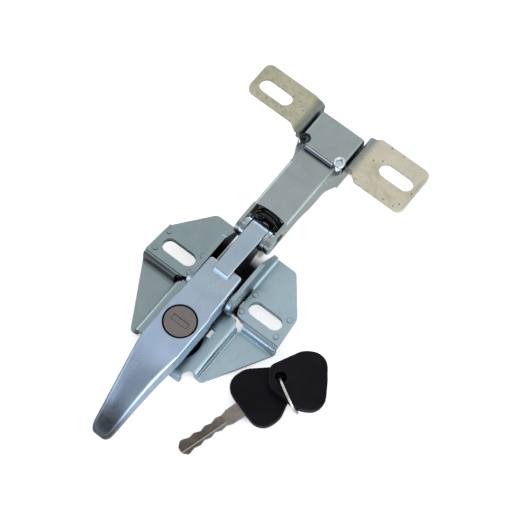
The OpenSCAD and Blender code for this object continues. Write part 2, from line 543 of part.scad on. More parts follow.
module key_ring() color([0.78, 0.79, 0.8]) translate([hole_xy[0] + ring_out * cos(ring_dir), hole_xy[1] + ring_out * sin(ring_dir),
    floor_z + ring_r * cos(ring_lean) + ring_wire_r + 0.05]) rotate([0, 0, ring_dir]) rotate([90 + ring_lean, 0, 0]) rotate_extrude()
    translate([ring_r, 0]) circle(r = ring_wire_r);

base_plate();
left_pad();
right_pad();
pivot_pin();
pivot_washers();
handle();
lock_sleeve();
lock_plug();
key_shutter();
lock_cam();
cam_screw();
link_pin();
yoke();
link_washers();
draw_spring();
latch_bolt();
keeper();
key_blade();
key_head();
key_tag();
key_ring();
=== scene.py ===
import math

import bmesh
import bpy
from mathutils import Matrix, Vector


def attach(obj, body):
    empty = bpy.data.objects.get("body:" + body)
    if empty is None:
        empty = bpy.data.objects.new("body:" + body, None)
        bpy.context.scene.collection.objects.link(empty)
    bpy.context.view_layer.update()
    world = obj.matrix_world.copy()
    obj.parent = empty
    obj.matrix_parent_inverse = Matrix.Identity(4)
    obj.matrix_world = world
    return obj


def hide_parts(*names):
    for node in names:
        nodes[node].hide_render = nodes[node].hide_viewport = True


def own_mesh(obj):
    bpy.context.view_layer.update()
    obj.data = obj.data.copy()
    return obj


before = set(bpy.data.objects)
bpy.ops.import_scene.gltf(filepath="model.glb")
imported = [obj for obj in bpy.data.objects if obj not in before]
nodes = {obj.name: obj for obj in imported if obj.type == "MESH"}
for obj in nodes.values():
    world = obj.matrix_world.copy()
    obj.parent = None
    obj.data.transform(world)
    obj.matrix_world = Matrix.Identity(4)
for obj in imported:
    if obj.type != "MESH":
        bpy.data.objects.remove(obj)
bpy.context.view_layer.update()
scene = bpy.context.scene
MM = 0.001

# Base
# One stamped sheet with wings, tray, low gussets and up-turned walls, bright zinc with a blue-green cast.
# The doubled pads carry the slots and their four raised dots. Each piece is a copy of its CAD node with
# rounded edges. Its plated finish, with painted highlights and painted shade, is built from shader groups that
# later pieces use too.


def add(tree, kind, wires=None, values=None, **settings):
    """One node with its settings, constant inputs and incoming wires."""
    n = tree.nodes.new(kind)
    for key, value in settings.items():
        setattr(n, key, value)
    for key, value in (values or {}).items():
        n.inputs[key].default_value = value
    for key, source in (wires or {}).items():
        tree.links.new(source, n.inputs[key])
    return n


def calc(tree, operation, first, second=None, **settings):
    """Result of one math node. Each input may be a socket or a number."""
    n = add(tree, "ShaderNodeMath", operation=operation, **settings)
    for key, value in enumerate((first, second)):
        if isinstance(value, bpy.types.NodeSocket):
            tree.links.new(value, n.inputs[key])
        elif value is not None:
            n.inputs[key].default_value = value
    return n.outputs[0]


def times(tree, *shares):
    """Product of shares."""
    product = shares[0]
    for share in shares[1:]:
        product = calc(tree, "MULTIPLY", product, share)
    return product


def ramp(tree, source, low, high):
    """Share from 0 to 1 as the source goes from low to high, eased."""
    return add(tree, "ShaderNodeMapRange", {"Value": source}, {"From Min": low, "From Max": high},
               interpolation_type="SMOOTHSTEP").outputs["Result"]


def scaled(tree, source, factor, offset=0.0):
    """Source times factor plus offset."""
    return add(tree, "ShaderNodeMath", {0: source}, {1: factor, 2: offset}, operation="MULTIPLY_ADD").outputs[0]


def position(tree):
    """Place of the surface in the shared frame, as sockets X, Y and Z in metres."""
    spot = add(tree, "ShaderNodeTexCoord").outputs["Object"]
    return add(tree, "ShaderNodeSeparateXYZ", {0: spot}).outputs


def facing(tree, kind="Normal"):
    """Direction that the surface faces, as sockets X, Y and Z."""
    normal = add(tree, "ShaderNodeNewGeometry").outputs[kind]
    return add(tree, "ShaderNodeSeparateXYZ", {0: normal}).outputs


def new_group(name, inputs, outputs):
    """Shader group of float sockets, its inputs given with their defaults."""
    tree = bpy.data.node_groups.new(name, "ShaderNodeTree")
    for label, value in inputs.items():
        tree.interface.new_socket(label, in_out="INPUT", socket_type="NodeSocketFloat").default_value = value
    for label in outputs:
        tree.interface.new_socket(label, in_out="OUTPUT", socket_type="NodeSocketFloat")
    return tree, tree.nodes.new("NodeGroupInput").outputs, tree.nodes.new("NodeGroupOutput").inputs


# Stains, fine grain and soft clouds, their sizes in millimetres.
grain, given, result = new_group("stain and grain", {"Size": 20.0, "Grain": 0.6}, ("Stain", "Fine", "Clouds"))
coords = add(grain, "ShaderNodeTexCoord").outputs["Object"]
broad = {"Vector": coords, "Scale": calc(grain, "DIVIDE", 1 / MM, given["Size"])}
narrow = {"Vector": coords, "Scale": calc(grain, "DIVIDE", 1 / MM, given["Grain"])}
clouds = add(grain, "ShaderNodeTexNoise", broad, {"Detail": 3.0, "Roughness": 0.55})
warped = add(grain, "ShaderNodeTexNoise", broad, {"Detail": 6.0, "Roughness": 0.7, "Distortion": 1.4})
fine = add(grain, "ShaderNodeTexNoise", narrow, {"Detail": 2.0, "Roughness": 0.6})
grain.links.new(ramp(grain, warped.outputs["Fac"], 0.42, 0.72), result["Stain"])
grain.links.new(fine.outputs["Fac"], result["Fine"])
grain.links.new(ramp(grain, clouds.outputs["Fac"], 0.3, 0.7), result["Clouds"])

# Straight scratches in three directions that come and go in patches, length and width in millimetres.
scratch_sizes = {"Length": 12.0, "Width": 0.12, "Share": 0.3}
scratch, given, result = new_group("straight scratches", scratch_sizes, ("Lines",))
coords = add(scratch, "ShaderNodeTexCoord").outputs["Object"]
lengthwise = calc(scratch, "DIVIDE", 1 / MM, given["Length"])
crosswise = calc(scratch, "DIVIDE", 1 / MM, given["Width"])
stretch = add(scratch, "ShaderNodeCombineXYZ", {"X": lengthwise, "Y": crosswise, "Z": lengthwise}).outputs[0]
limit = calc(scratch, "SUBTRACT", 0.8, given["Share"])
total = None
for turn in (8.0, -27.0, 64.0):
    angle = {"Angle": math.radians(turn)}
    spun = add(scratch, "ShaderNodeVectorRotate", {"Vector": coords}, angle, rotation_type="Z_AXIS").outputs[0]
    sized = add(scratch, "ShaderNodeVectorMath", {0: spun, 1: stretch}, operation="MULTIPLY").outputs[0]
    lines = add(scratch, "ShaderNodeTexNoise", {"Vector": sized}, {"Scale": 1.0, "Detail": 1.0}).outputs["Fac"]
    kept = calc(scratch, "MULTIPLY", calc(scratch, "SUBTRACT", lines, limit), 6.0, use_clamp=True)
    total = kept if total is None else calc(scratch, "MAXIMUM", total, kept)
where = add(scratch, "ShaderNodeTexNoise", {"Vector": coords}, {"Scale": 90.0, "Detail": 2.0}).outputs["Fac"]
scratch.links.new(times(scratch, total, ramp(scratch, where, 0.38, 0.62)), result["Lines"])

# Edge wear with a painted highlight within a reach in millimetres, and painted shade in hollows that light
# hardly gets into.
wear_sheen_shade, given, result = new_group("edge wear, sheen and shade", {"Reach": 0.5}, ("Edge", "Hollow"))
reach = calc(wear_sheen_shade, "MULTIPLY", given["Reach"], MM)
rounded = add(wear_sheen_shade, "ShaderNodeBevel", {"Radius": reach}, samples=6).outputs[0]
flat = add(wear_sheen_shade, "ShaderNodeNewGeometry").outputs["True Normal"]
bend = add(wear_sheen_shade, "ShaderNodeVectorMath", {0: rounded, 1: flat}, operation="DOT_PRODUCT").outputs["Value"]
wear_sheen_shade.links.new(ramp(wear_sheen_shade, bend, 0.995, 0.85), result["Edge"])
near_by = add(wear_sheen_shade, "ShaderNodeAmbientOcclusion", None, {"Distance": 4 * MM}, samples=6).outputs["AO"]
deep_in = add(wear_sheen_shade, "ShaderNodeAmbientOcclusion", None, {"Distance": 16 * MM}, samples=8).outputs["AO"]
crevice = scaled(wear_sheen_shade, ramp(wear_sheen_shade, near_by, 0.75, 0.15), 0.6)
wear_sheen_shade.links.new(calc(wear_sheen_shade, "MAXIMUM", crevice, ramp(wear_sheen_shade, deep_in, 0.5, 0.12)), result["Hollow"])

# Painted shade low down between the side walls, with their half distance and the start along x in millimetres.
channel, given, result = new_group("channel shade", {"Half": 10.1, "From": -9.0}, ("Shade in channel",))
place = position(channel)
aside = calc(channel, "ABSOLUTE", place["Y"])
within = calc(channel, "LESS_THAN", aside, calc(channel, "MULTIPLY", given["Half"], MM))
ahead = calc(channel, "GREATER_THAN", place["X"], calc(channel, "MULTIPLY", given["From"], MM))
beneath = ramp(channel, place["Z"], 0.0116, 0.0085)
channel.links.new(times(channel, within, ahead, beneath), result["Shade in channel"])

# Sloping faces that get painted light: painted shade on the rear steps of the left side, a painted highlight on
# those of the right side, painted shade on the right wall and a painted highlight on the rear of the lugs.
slopes, _, result = new_group("sloping faces", {}, ("Left", "Right", "Wall", "Lug"))
place = position(slopes)
lean = facing(slopes)
leaning = ramp(slopes, lean["X"], -0.25, -0.6)
rearward = times(slopes, leaning, ramp(slopes, place["Z"], 0.001, -0.001))
for label, first, last in (("Left", 0.006, 0.012), ("Right", -0.006, -0.012)):
    slopes.links.new(times(slopes, rearward, ramp(slopes, place["Y"], first, last)), result[label])
raised = ramp(slopes, place["Z"], 0.0, 0.002)
outward = times(slopes, ramp(slopes, lean["Y"], -0.5, -0.85), raised, ramp(slopes, place["X"], -0.001, 0.003))
slopes.links.new(outward, result["Wall"])
slopes.links.new(times(slopes, leaning, raised), result["Lug"])


def use(tree, group, **values):
    """Outputs of a shader group that is placed in a material with its own values."""
    return add(tree, "ShaderNodeGroup", None, values, node_tree=group).outputs


def blend(tree, share, a, b):
    """Colour a turning to colour b. Each may be a colour or a socket, share a socket or a number."""
    n = add(tree, "ShaderNodeMix", data_type="RGBA")
    for key, value in ((0, share), (6, a), (7, b)):
        if isinstance(value, bpy.types.NodeSocket):
            tree.links.new(value, n.inputs[key])
        else:
            n.inputs[key].default_value = value if key == 0 else (*value, 1.0)
    return n.outputs[2]


def layer(tree, color, mask, share, tone):
    """Colour with a tone laid over it where the mask says, by the given share."""
    return blend(tree, scaled(tree, mask, share), color, tone)


def new_material(name):
    mat = bpy.data.materials.new(name)
    mat.use_nodes = True
    return mat, mat.node_tree, mat.node_tree.nodes["Principled BSDF"]


def coat(tree, shader, color, rough, metallic):
    """Wires the colour and the roughness, and sets how metallic the surface is."""
    tree.links.new(color, shader.inputs["Base Color"])
    tree.links.new(rough, shader.inputs["Roughness"])
    shader.inputs["Metallic"].default_value = metallic


def bumped(tree, shader, height, strength, distance):
    """Fine relief from a height, its depth in mm."""
    relief = add(tree, "ShaderNodeBump", {"Height": height}, {"Strength": strength, "Distance": distance * MM})
    tree.links.new(relief.outputs[0], shader.inputs["Normal"])


def metal(name, tone, stain, edge, rough, size=18.0, lines=0.22, stained=0.5, right=None, with_painted_light=False):
    """Plated sheet metal: a clouded tone with stains, fine scratches, edges brighter from wear and a painted
    highlight, and painted shade in hollows. With right given, the colour goes over to that tone from the +y
    side to the -y side.
    With painted light on, it gets painted shade between the side walls and painted light and shade on sloping
    faces."""
    mat, tree, shader = new_material(name)
    base = use(tree, grain, Size=size, Grain=0.5)
    marks = use(tree, scratch, Length=9.0, Width=0.14, Share=lines)
    rims = use(tree, wear_sheen_shade, Reach=0.35)
    if right is not None:
        tone = blend(tree, ramp(tree, position(tree)["Y"], 0.022, -0.03), tone, right)
        stain = blend(tree, 0.35, tone, stain)
    color = layer(tree, tone, base["Stain"], stained, stain)
    color = layer(tree, color, base["Fine"], 0.16, stain)
    color = layer(tree, color, marks["Lines"], 0.25, edge)
    # Edge wear with a painted highlight over it, and painted shade in hollows.
    color = layer(tree, color, rims["Edge"], 0.5, edge)
    color = layer(tree, color, rims["Hollow"], 0.85, (0.02, 0.022, 0.024))
    if with_painted_light:
        # Painted shade on the left rear steps, the right wall and low between the walls; painted highlights on
        # the right rear steps and the rear of the lugs.
        sides = use(tree, slopes)
        color = layer(tree, color, sides["Left"], 0.75, (0.07, 0.06, 0.055))
        color = layer(tree, color, sides["Right"], 0.7, (0.72, 0.88, 1.0))
        color = layer(tree, color, sides["Wall"], 0.7, (0.12, 0.17, 0.17))
        color = layer(tree, color, sides["Lug"], 0.75, (0.72, 0.9, 1.0))
        color = layer(tree, color, use(tree, channel)["Shade in channel"], 0.95, (0.012, 0.009, 0.008))
    coat(tree, shader, color, scaled(tree, base["Clouds"], 0.12, rough), 1.0)
    bumped(tree, shader, base["Fine"], 0.12, 0.05)
    return mat


def shown(piece, body, slot, mat, *stands_for):
    """Gives a finished piece its material and body. The slot is not used."""
    piece.data.materials.clear()
    piece.data.materials.append(mat)
    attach(piece, body)
    if stands_for:
        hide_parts(*stands_for)
    return piece


def formed(node, body, slot, mat, edge, soft=None, soft_edge=0.0, segments=3):
    """Merged and rounded copy of a CAD node that is shown in its place.
    Corners that soft() picks by their middle get soft_edge, other corners get edge, in mm."""
    smallest_corner = 35.0
    bm = bmesh.new()
    bm.from_mesh(nodes[node].data)
    bmesh.ops.remove_doubles(bm, verts=bm.verts, dist=0.002 * MM)
    bmesh.ops.dissolve_limit(bm, angle_limit=math.radians(0.5), verts=bm.verts, edges=bm.edges)
    weight = bm.edges.layers.float.new("bevel_weight_edge")
    widest = max(edge, soft_edge)
    for e in bm.edges:
        if len(e.link_faces) != 2:
            continue
        if math.degrees(e.calc_face_angle(0.0)) < smallest_corner:
            continue
        middle = (e.verts[0].co + e.verts[1].co) / (2 * MM)
        picked = soft is not None and soft(middle)
        e[weight] = (soft_edge if picked else edge) / widest
    mesh = bpy.data.meshes.new(node + "_formed")
    bm.to_mesh(mesh)
    bm.free()
    mesh.shade_smooth()
    piece = bpy.data.objects.new(node + "_formed", mesh)
    scene.collection.objects.link(piece)
    bevel = piece.modifiers.new("rounded edges", "BEVEL")
    bevel.limit_method = "WEIGHT"
    bevel.width = widest * MM
    bevel.segments = segments
    bevel.use_clamp_overlap = True
    bevel.miter_outer = "MITER_ARC"
    level = piece.modifiers.new("even faces", "WEIGHTED_NORMAL")
    level.weight = 80
    level.keep_sharp = False
    return shown(piece, body, slot, mat, node)


base_finish = metal("base zinc", (0.38, 0.47, 0.47), (0.3, 0.36, 0.35), (0.72, 0.88, 0.95), 0.24,
                    right=(0.56, 0.71, 0.78), with_painted_light=True)
formed("base_plate", "base", "base_zinc", base_finish, 0.4)
pad_finish = metal("pad zinc", (0.37, 0.47, 0.48), (0.32, 0.38, 0.38), (0.76, 0.9, 0.96), 0.26,
                   size=9.0, right=(0.56, 0.7, 0.76))
formed("left_pad", "base", "base_zinc", pad_finish, 0.35)
formed("right_pad", "base", "base_zinc", pad_finish, 0.35)

# Pins and washers
# Bright steel pieces of the two pivots. The handle turns on the pin through the base lugs,
# and the link pin sits in the nose of the handle.
steel_finish = metal("bright steel", (0.6, 0.66, 0.7), (0.42, 0.46, 0.48), (0.85, 0.92, 0.96), 0.2, size=6.0)
formed("pivot_pin", "base", "steel", steel_finish, 0.15)
formed("pivot_washers", "base", "steel", steel_finish, 0.1)
formed("link_pin", "handle", "steel", steel_finish, 0.3)

# Handle
# Satin chrome on a die casting: the body is lofted along the curve of the grip, with a hollow underside.
# The nose rib and the lock boss are joined to it, then the lock and pin bores are cut.
# The chrome darkens to the tip, partly from wear and partly as a painted dark reflection, and painted shade
# keeps the flanks between the lugs dark.


def distance(tree, spot, centre):
    """Distance of a place from a fixed centre."""
    return add(tree, "ShaderNodeVectorMath", {0: spot}, {1: centre}, operation="DISTANCE").outputs["Value"]


lock_x = -31.0
handle_finish, tree, shader = new_material("satin chrome")
base = use(tree, grain, Size=14.0, Grain=0.35)
marks = use(tree, scratch, Length=8.0, Width=0.3, Share=0.24)
rims = use(tree, wear_sheen_shade, Reach=0.5)
place = position(tree)
to_grip = ramp(tree, place["X"], -0.004, -0.054)
to_tip = ramp(tree, place["X"], -0.067, -0.085)
color = blend(tree, to_grip, (0.56, 0.67, 0.75), (0.61, 0.76, 1.0))
color = layer(tree, color, base["Clouds"], 0.35, (0.37, 0.48, 0.64))
color = layer(tree, color, base["Fine"], 0.2, (0.4, 0.47, 0.6))
color = layer(tree, color, marks["Lines"], 0.7, (0.72, 0.87, 1.0))
# Darker towards the tip: partly wear, partly a painted dark reflection where the grip curves down.
color = layer(tree, color, to_tip, 0.9, (0.06, 0.054, 0.046))
color = layer(tree, color, times(tree, to_tip, base["Stain"]), 0.75, (0.03, 0.03, 0.035))
# Painted highlight along the edges, fading towards the tip, and painted shade in hollows.
bright_rim = times(tree, rims["Edge"], scaled(tree, to_tip, -0.8, 1.0))
color = layer(tree, color, bright_rim, 0.45, (0.84, 0.9, 0.98))
color = layer(tree, color, rims["Hollow"], 0.85, (0.012, 0.012, 0.015))
# Painted shade on faces that turn to the left, away from the lamp.
leftward = ramp(tree, facing(tree)["Y"], 0.15, 0.6)
color = layer(tree, color, leftward, 0.7, (0.16, 0.18, 0.21))
# Painted shade, near black, on the upright sides forward of the pivot, down between the base walls.
sideways = calc(tree, "ABSOLUTE", facing(tree, "True Normal")["Y"])
flank = times(tree, ramp(tree, sideways, 0.7, 0.92), ramp(tree, place["X"], 0.0005, 0.0035))
color = layer(tree, color, flank, 0.93, (0.022, 0.015, 0.013))
# Painted shade in a dark ring round the lock bore, for the gap round the plug.
spot = add(tree, "ShaderNodeTexCoord").outputs["Object"]
seen_from_above = add(tree, "ShaderNodeVectorMath", {0: spot}, {1: (1.0, 1.0, 0.0)}, operation="MULTIPLY")
from_lock = distance(tree, seen_from_above.outputs[0], (lock_x * MM, 0.0, 0.0))
color = blend(tree, ramp(tree, from_lock, 0.0082, 0.0079), color, (0.01, 0.01, 0.01))
# Painted shade on the low parts of the body ahead of the grip.
under = times(tree, ramp(tree, place["Z"], 0.0052, 0.0042), ramp(tree, place["X"], -0.046, -0.044))
color = blend(tree, under, color, (0.014, 0.013, 0.013))
coat(tree, shader, color, scaled(tree, base["Clouds"], 0.1, 0.24), 1.0)
bumped(tree, shader, marks["Lines"], 0.1, 0.04)


def along(points, x):
    """Value at x on a line through points that are sorted by falling x."""
    for (xa, va), (xb, vb) in zip(points, points[1:]):
        if xb <= x <= xa:
            return va + (vb - va) * (xa - x) / (xa - xb)
    return points[0][1] if x > points[0][0] else points[-1][1]


def cubic(a, b, c, d, steps):
    """Points on a cubic curve with these four control points, without the first."""
    out = []
    for i in range(1, steps + 1):
        t = i / steps
        u = 1 - t
        shares = (u ** 3, 3 * u * u * t, 3 * u * t * t, t ** 3)
        out.append(tuple(sum(s * p[k] for s, p in zip(shares, (a, b, c, d))) for k in (0, 1)))
    return out


def arc(x, y, radius, first, last, step):
    """Points on a circle, from the first angle to before the last, in degrees."""
    angles = [math.radians(a) for a in range(first, last, step)]
    return [(x + radius * math.cos(a), y + radius * math.sin(a)) for a in angles]


def section(x, half, top, low, corner, crown, roof, wall):
    """Loop of a channel section: rounded top corners, a crowned top and an inner roof, in mm."""
    flat = half - corner
    loop = [(-half, low)]
    loop += arc(-flat, top - corner, corner, 180, 89, -15)
    loop += [(flat * k / 4, top + crown * (1 - (k / 4) ** 2)) for k in range(-3, 4)]
    loop += arc(flat, top - corner, corner, 90, -1, -15)
    loop += [(half, low), (half - wall, low), (half - wall, roof), (wall - half, roof), (wall - half, low)]
    return [(x * MM, y * MM, z * MM) for y, z in loop]


def placed(name, bm):
    mesh = bpy.data.meshes.new(name)
    bm.to_mesh(mesh)
    bm.free()
    piece = bpy.data.objects.new(name, mesh)
    scene.collection.objects.link(piece)
    return piece


def lofted(name, loops, hollow=False):
    """Solid through loops with the same number of points, closed by end faces.
    A hollow one joins its last loop to the first instead."""
    bm = bmesh.new()
    rows = [[bm.verts.new(p) for p in loop] for loop in loops]
    count = len(rows[0])
    followers = rows[1:] + rows[:1] if hollow else rows[1:]
    for a, b in zip(rows, followers):
        for i in range(count):
            j = (i + 1) % count
            bm.faces.new((a[i], a[j], b[j], b[i]))
    if not hollow:
        bm.faces.new(rows[0])
        bm.faces.new(rows[-1])
    bmesh.ops.recalc_face_normals(bm, faces=bm.faces)
    return placed(name, bm)


def turned(name, profile, x, y=0.0, step=5, hollow=False):
    """Solid of a profile (radius, height) turned about the upright axis at x and y, in mm."""
    loops = []
    for r, z in profile:
        loops.append([(px * MM, py * MM, z * MM) for px, py in arc(x, y, r, 0, 360, step)])
    return lofted(name, loops, hollow)


def slab(name, outline, half, edge):
    """Plate of a side outline (x, z) between -half and half in y, its outline edges rounded, in mm."""
    bm = bmesh.new()
    near = [bm.verts.new((x * MM, -half * MM, z * MM)) for x, z in outline]
    far = [bm.verts.new((x * MM, half * MM, z * MM)) for x, z in outline]
    sides = [bm.faces.new(near), bm.faces.new(far[::-1])]
    for i in range(len(outline)):
        j = (i + 1) % len(outline)
        bm.faces.new((near[i], far[i], far[j], near[j]))
    bmesh.ops.recalc_face_normals(bm, faces=bm.faces)
    if edge > 0:
        rim = list({e for f in sides for e in f.edges})
        bmesh.ops.bevel(bm, geom=rim, offset=edge * MM, segments=4, profile=0.5, affect="EDGES",
                        clamp_overlap=True)
    return placed(name, bm)


def smoothed(piece, corner):
    """Piece with smooth faces that meets sharply at corners over the given angle."""
    piece.data.shade_smooth()
    piece.data.set_sharp_from_angle(angle=math.radians(corner))
    return piece


def settled(piece):
    """Piece with its modifiers made part of its mesh."""
    bpy.context.view_layer.update()
    mesh = bpy.data.meshes.new_from_object(piece.evaluated_get(bpy.context.evaluated_depsgraph_get()))
    piece.modifiers.clear()
    piece.data = mesh
    return piece


def combined(piece, other, operation):
    """Piece after a solid is joined to it or cut from it."""
    step = piece.modifiers.new("combine", "BOOLEAN")
    step.operation = operation
    step.solver = "EXACT"
    step.object = other
    settled(piece)
    bpy.data.objects.remove(other)
    return piece


deck = 16.4
front_half = 8.8
front_corner = 1.3
front_wall = 2.4
sliver = 0.01
body_low = [(2.4, 8.5), (-1.5, 2.4), (-3.8, 0.8), (-5.8, 0.4), (-7.8, 0.8), (-10.2, 3.0), (-11.0, 5.0)]
body_low += [(-45.0, 5.0)]
body_low += cubic((-45.0, 5.0), (-59.0, 5.0), (-75.0, -6.6), (-86.8, -9.1), 20) + [(-88.0, -9.1)]
body_top = [(2.4, deck), (-45.0, deck)]
body_top += cubic((-45.0, deck), (-61.0, deck), (-76.0, 3.2), (-86.8, -4.4), 28) + [(-88.0, -5.4)]
body_half = [(2.4, front_half), (-13.8, 9.2), (-20.0, 9.2), (-23.0, 9.9), (-45.0, 9.9)]
body_half += [(-69.5, 6.6), (-88.5, 4.7)]
loops = []
# The front end is rounded by insets.
for x, inset in ((2.4, 1.1), (2.3, 0.6), (2.0, 0.25), (1.5, 0.06), (1.0, 0.0)):
    low = along(body_low, x) + inset
    loops.append(section(x, front_half - inset, deck - inset, low, front_corner, 0.0, low + sliver, front_wall))
# The body around the pivot and the lock is solid, so its inner roof lies just above its lower side.
pivot_stations = (-1.5, -3.8, -5.8, -7.8, -10.2, -11.0, -15.0)
lock_stations = (-19.5, -20.5, -21.5, -22.5, -23.5, -28.0, -36.0, -42.0, -45.0)
for x in pivot_stations + lock_stations:
    low = along(body_low, x)
    loops.append(section(x, along(body_half, x), deck, low, front_corner, 0.0, low + sliver, front_wall))
# The grip is a hollow channel with a growing crown.
for i in range(45):
    x = -45.05 - i * 0.87
    half = sum(along(body_half, x + step) for step in (-4, -2, 0, 2, 4)) / 5
    share = min(1.0, i / 16)
    crown = 0.7 * share - 0.4 * max(0.0, (i - 34) / 10)
    top = along(body_top, x) - crown
    loops.append(section(x, half, top, along(body_low, x), front_corner + 0.9 * share, crown, top - 2.6, 2.2))
# The tip closes in on all sides.
for u in (0.05, 0.3, 0.55, 0.75, 0.9, 0.97):
    x = -83.6 - 4.5 * u
    full = (1 - u ** 2.4) ** (1 / 2.4)
    middle = (along(body_top, x) + along(body_low, x)) / 2
    top = middle + (along(body_top, x) - middle) * (0.35 + 0.65 * full)
    low = middle + (along(body_low, x) - middle) * (0.35 + 0.65 * full)
    half = along(body_half, x) * (0.3 + 0.7 * full)
    corner = min(2.2, (top - low) * 0.48, half * 0.8)
    loops.append(section(x, half, top - 0.3, low, corner, 0.3, low + 0.02, half * 0.4))
handle = lofted("handle_cast", loops)
pivot = (-5.8, 6.0)
nose_pin = (24.2, 13.4)
nose_half = 4.7
nose_outline = [(-3.2, 12.0), (-3.2, deck), (-2.0, 18.3), (-1.4, 18.6)]
nose_outline += arc(*nose_pin, 5.2, 90, -91, -9)
nose_outline += [(14.4, 2.8), (4.0, 2.8), (0.4, 6.5)]
nose = slab("nose", nose_outline, nose_half, 0.8)
# The nose narrows from its pin back to the body.
for v in nose.data.vertices:
    v.co.y *= (4.15 + 0.55 * min(1.0, (v.co.x / MM + 4.0) / 28.2)) / nose_half
combined(handle, nose, "UNION")
combined(handle, turned("boss", [(9.4, -1.1), (9.4, 7.0)], lock_x), "UNION")
lock_bore = turned("lock bore", [(7.6, -6.0), (7.6, 16.1), (8.0, 16.5), (8.0, 20.0)], lock_x)
combined(handle, lock_bore, "DIFFERENCE")
for x, z in (pivot, nose_pin):
    combined(handle, slab("pin bore", arc(x, z, 3.05, 0, 360, 10), 20.0, 0.0), "DIFFERENCE")
smoothed(handle, 38)
level = handle.modifiers.new("even faces", "WEIGHTED_NORMAL")
level.keep_sharp = True
shown(settled(handle), "handle", "satin_chrome", handle_finish, "handle")

# Lock
# Dull nickel plug face with its key slot and shutter, turning in a sleeve in the handle's boss that is painted
# near black as shade in the deep gap.
# The cam and its screw turn with the plug below the tray.
face_finish = metal("lock face", (0.3, 0.26, 0.25), (0.24, 0.2, 0.19), (0.5, 0.45, 0.43), 0.42,
                    size=5.0, lines=0.25)
# The sleeve is painted near black: the shade deep in the gap round the plug.
sleeve_finish = metal("sleeve in painted shade", (0.05, 0.05, 0.055), (0.03, 0.03, 0.03), (0.12, 0.12, 0.12), 0.5,
                      size=5.0)
formed("lock_plug", "plug", "lock_face", face_finish, 0.15)
formed("key_shutter", "plug", "lock_face", face_finish, 0.08)
formed("lock_sleeve", "handle", "steel", sleeve_finish, 0.1)
formed("lock_cam", "plug", "steel", steel_finish, 0.2)
formed("cam_screw", "plug", "steel", steel_finish, 0.25)

# Yoke and spring
# Bright link around the nose end, dark where it is stained, and a glossy black spring in the bolt channel.
# The spring is one wire swept along a coil.
yoke_finish = metal("burnished link", (0.72, 0.81, 0.86), (0.08, 0.08, 0.085), (0.9, 0.98, 1.0), 0.14,
                    size=4.0, stained=0.7)
formed("yoke", "yoke", "steel", yoke_finish, 0.5)
formed("link_washers", "yoke", "steel", yoke_finish, 0.1)
spring_finish, tree, shader = new_material("black spring")
base = use(tree, grain, Size=5.0, Grain=0.4)
color = layer(tree, (0.03, 0.035, 0.038), base["Stain"], 0.5, (0.05, 0.03, 0.024))
coat(tree, shader, color, scaled(tree, base["Fine"], 0.15, 0.16), 0.5)


def swept(name, finish, turns, radius, height, wide, tall, steps, closed=0.0):
    """Wire of an oval section swept along a coil about z, made with Geometry Nodes, in mm.
    Closed is the number of turns at each end that lie side by side."""
    tree = bpy.data.node_groups.new(name, "GeometryNodeTree")
    tree.interface.new_socket("Geometry", in_out="INPUT", socket_type="NodeSocketGeometry")
    sizes = {"Turns": turns, "Radius": radius * MM, "Height": height * MM, "Wide": wide * MM, "Tall": tall * MM}
    for label, value in sizes.items():
        tree.interface.new_socket(label, in_out="INPUT", socket_type="NodeSocketFloat").default_value = value
    tree.interface.new_socket("Geometry", in_out="OUTPUT", socket_type="NodeSocketGeometry")
    given = tree.nodes.new("NodeGroupInput").outputs
    spiral = {"Rotations": given["Turns"], "Height": given["Height"]}
    spiral.update({"Start Radius": given["Radius"], "End Radius": given["Radius"]})
    path = add(tree, "GeometryNodeCurveSpiral", spiral, {"Resolution": steps}).outputs[0]
    if closed > 0:
        share = closed / turns
        end = closed * 2.1 * wide * MM
        rise = None
        part = add(tree, "GeometryNodeSplineParameter").outputs["Factor"]
        rest = height * MM - 2 * end
        for first, last, gain in ((0.0, share, end), (share, 1 - share, rest), (1 - share, 1.0, end)):
            span = {"From Min": first, "From Max": last, "To Max": gain}
            step = add(tree, "ShaderNodeMapRange", {"Value": part}, span).outputs[0]
            rise = step if rise is None else calc(tree, "ADD", rise, step)
        here = add(tree, "GeometryNodeInputPosition").outputs[0]
        flat = add(tree, "ShaderNodeSeparateXYZ", {0: here}).outputs
        moved = add(tree, "ShaderNodeCombineXYZ", {"X": flat["X"], "Y": flat["Y"], "Z": rise}).outputs[0]
        path = add(tree, "GeometryNodeSetPosition", {"Geometry": path, "Position": moved}).outputs[0]
    upright = add(tree, "GeometryNodeSetCurveNormal", {"Curve": path}, mode="Z_UP").outputs[0]
    circle = add(tree, "GeometryNodeCurvePrimitiveCircle", None, {"Resolution": 14, "Radius": 1.0}).outputs[0]
    size = add(tree, "ShaderNodeCombineXYZ", {"X": given["Wide"], "Y": given["Tall"]}, {"Z": 1.0}).outputs[0]
    oval = add(tree, "GeometryNodeTransform", {"Geometry": circle, "Scale": size}).outputs[0]
    wire = add(tree, "GeometryNodeCurveToMesh", {"Curve": upright, "Profile Curve": oval}, {"Fill Caps": True})
    smooth = add(tree, "GeometryNodeSetShadeSmooth", {"Geometry": wire.outputs[0]})
    real = add(tree, "GeometryNodeRealizeInstances", {"Geometry": smooth.outputs[0]})
    dressed = add(tree, "GeometryNodeSetMaterial", {"Geometry": real.outputs[0]}, {"Material": finish})
    tree.links.new(dressed.outputs[0], tree.nodes.new("NodeGroupOutput").inputs[0])
    piece = bpy.data.objects.new(name, bpy.data.meshes.new(name))
    scene.collection.objects.link(piece)
    piece.modifiers.new("coil", "NODES").node_group = tree
    return settled(piece)


spring = swept("spring_wire", spring_finish, 9.5, 6.1, 37.1, 1.0, 1.0, 42, closed=1.6)
spring.data.transform(Matrix.Translation((32.1 * MM, 0, 9.3 * MM)) @ Matrix.Rotation(math.radians(90), 4, "Y"))
shown(spring, "yoke", "spring_black", spring_finish, "draw_spring")
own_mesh(spring)

